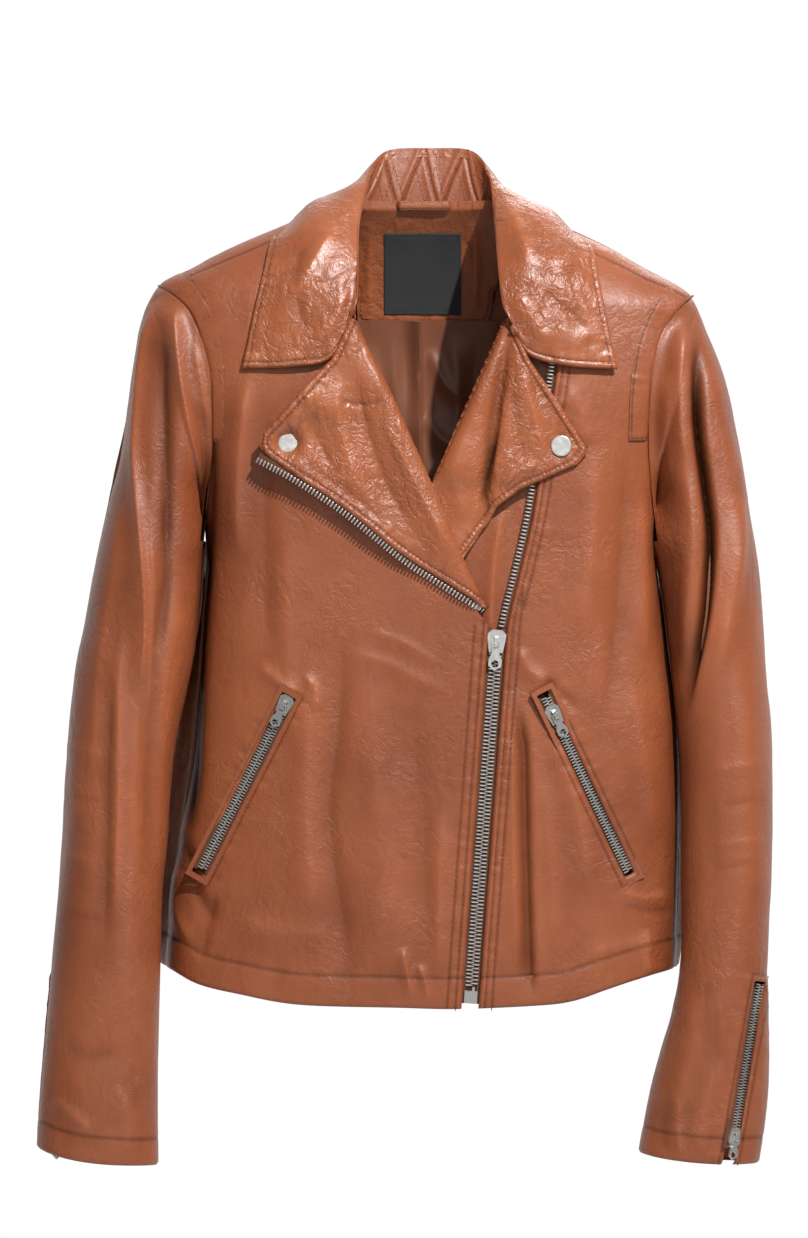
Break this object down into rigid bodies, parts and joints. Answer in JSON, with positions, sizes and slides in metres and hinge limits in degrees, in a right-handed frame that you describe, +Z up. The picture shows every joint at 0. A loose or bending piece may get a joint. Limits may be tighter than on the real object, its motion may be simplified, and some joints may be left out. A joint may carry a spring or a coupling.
{
  "type": "leather riding jacket",
  "caption": "Short fitted leather riding jacket with notched collar, snap-down lapels, offset front zip, slanted zip pockets and zipped cuffs, hung by its neck loop.",
  "frame": {"origin": "middle of the hang loop at the back neck, which the jacket hangs from", "axes": "+Z up; +X towards the wearer's left; +Y towards the wearer's back, so the front faces -Y"},
  "size_m": [0.5276, 0.1278, 0.7257],
  "materials": {
    "leather": "semi-gloss aniline",
    "satin": "satin",
    "pocketing": "matt woven",
    "label": "woven satin",
    "zip_tape": "matt woven",
    "zip_teeth": "polished",
    "zip_metal": "nickel plated"
  },
  "bodies": {
    "torso": {"back_panel": "leather", "right_front_panel": "leather", "left_front_panel": "leather", "hem_facing": "leather", "right_front_facing": "leather", "back_neck_facing": "leather", "wind_flap": "leather", "right_shoulder_patch": "leather", "left_shoulder_patch": "leather", "collar_stand": "leather", "under_collar": "leather", "upper_collar": "leather", "hang_loop": "leather", "right_pocket_welt": "leather", "left_pocket_welt": "leather", "back_lining": "satin", "right_front_lining": "satin", "left_front_lining": "satin", "right_pocket_bag": "pocketing", "left_pocket_bag": "pocketing", "neck_label": "label", "main_zip_left_tape": "zip_tape", "main_zip_right_tape": "zip_tape", "right_pocket_zip_tape": "zip_tape", "left_pocket_zip_tape": "zip_tape", "main_zip_left_teeth": "zip_teeth", "main_zip_right_teeth": "zip_teeth", "right_pocket_zip_teeth": "zip_teeth", "left_pocket_zip_teeth": "zip_teeth", "main_zip_box": "zip_metal", "right_snap_stud": "zip_metal", "left_snap_stud": "zip_metal"},
    "main_slider": {"main_zip_slider": "zip_metal"},
    "main_pull": {"main_zip_pull": "zip_metal"},
    "right_pocket_slider_body": {"right_pocket_slider": "zip_metal"},
    "right_pocket_pull_body": {"right_pocket_pull": "zip_metal"},
    "left_pocket_slider_body": {"left_pocket_slider": "zip_metal"},
    "left_pocket_pull_body": {"left_pocket_pull": "zip_metal"},
    "right_cuff_slider_body": {"right_cuff_slider": "zip_metal"},
    "right_cuff_pull_body": {"right_cuff_pull": "zip_metal"},
    "left_cuff_slider_body": {"left_cuff_slider": "zip_metal"},
    "left_cuff_pull_body": {"left_cuff_pull": "zip_metal"},
    "right_sleeve": {"right_upper_sleeve": "leather", "right_under_sleeve": "leather", "right_sleeve_lining": "satin", "right_cuff_zip_tape": "zip_tape", "right_cuff_zip_teeth": "zip_teeth"},
    "left_sleeve": {"left_upper_sleeve": "leather", "left_under_sleeve": "leather", "left_sleeve_lining": "satin", "left_cuff_zip_tape": "zip_tape", "left_cuff_zip_teeth": "zip_teeth"},
    "right_lapel_flap": {"right_lapel": "leather", "right_lapel_zip_tape": "zip_tape", "right_lapel_zip_teeth": "zip_teeth", "right_snap_cap": "zip_metal"},
    "left_lapel_flap": {"left_lapel": "leather", "left_snap_cap": "zip_metal"}
  },
  "joints": [
    {"name": "main_zip_slide", "type": "slide", "parent": "torso", "child": "main_slider", "axis": [0.0723, 0, 0.9974], "range_m": [-0.236, 0]},
    {"name": "main_zip_pull", "type": "hinge", "parent": "main_slider", "child": "main_pull", "pos_m": [0.05178, -0.0846, -0.31497], "axis": [-0.9974, 0, 0.0723], "range_deg": [0, 150]},
    {"name": "right_pocket_zip_slide", "type": "slide", "parent": "torso", "child": "right_pocket_slider_body", "axis": [0.4474, -0.1562, 0.8806], "range_m": [-0.1203, 0]},
    {"name": "right_pocket_zip_pull", "type": "hinge", "parent": "right_pocket_slider_body", "child": "right_pocket_pull_body", "pos_m": [-0.1003, -0.08408, -0.36038], "axis": [-0.8388, 0.2684, 0.4738], "range_deg": [0, 150]},
    {"name": "left_pocket_zip_slide", "type": "slide", "parent": "torso", "child": "left_pocket_slider_body", "axis": [-0.4275, -0.1121, 0.897], "range_m": [-0.1121, 0.009]},
    {"name": "left_pocket_zip_pull", "type": "hinge", "parent": "left_pocket_slider_body", "child": "left_pocket_pull_body", "pos_m": [0.09345, -0.08419, -0.36737], "axis": [-0.8546, -0.2735, -0.4415], "range_deg": [0, 150]},
    {"name": "right_cuff_zip_slide", "type": "slide", "parent": "right_sleeve", "child": "right_cuff_slider_body", "axis": [0.0208, 0.0499, 0.9985], "range_m": [0, 0.1022]},
    {"name": "right_cuff_zip_pull", "type": "hinge", "parent": "right_cuff_slider_body", "child": "right_cuff_pull_body", "pos_m": [-0.26438, -0.04351, -0.67106], "axis": [0.6214, 0.7818, -0.052], "range_deg": [0, 150]},
    {"name": "left_cuff_zip_slide", "type": "slide", "parent": "left_sleeve", "child": "left_cuff_slider_body", "axis": [0.17, 0.1161, 0.9786], "range_m": [0, 0.1026]},
    {"name": "left_cuff_zip_pull", "type": "hinge", "parent": "left_cuff_slider_body", "child": "left_cuff_pull_body", "pos_m": [0.22306, -0.08653, -0.66924], "axis": [-0.7661, -0.609, 0.2054], "range_deg": [0, 150]},
    {"name": "right_shoulder_swing", "type": "hinge", "parent": "torso", "child": "right_sleeve", "pos_m": [-0.19, -0.024, -0.056], "axis": [0, 1, 0], "range_deg": [0, 30]},
    {"name": "left_shoulder_swing", "type": "hinge", "parent": "torso", "child": "left_sleeve", "pos_m": [0.193, -0.024, -0.058], "axis": [0, -1, 0], "range_deg": [0, 30]},
    {"name": "right_lapel_fold", "type": "hinge", "parent": "torso", "child": "right_lapel_flap", "pos_m": [-0.046, -0.0846, -0.09], "axis": [-0.4107, 0, 0.9118], "range_deg": [0, 95]},
    {"name": "left_lapel_fold", "type": "hinge", "parent": "torso", "child": "left_lapel_flap", "pos_m": [0.06, -0.0846, -0.092], "axis": [-0.1476, 0, -0.989], "range_deg": [0, 95]}
  ]
}
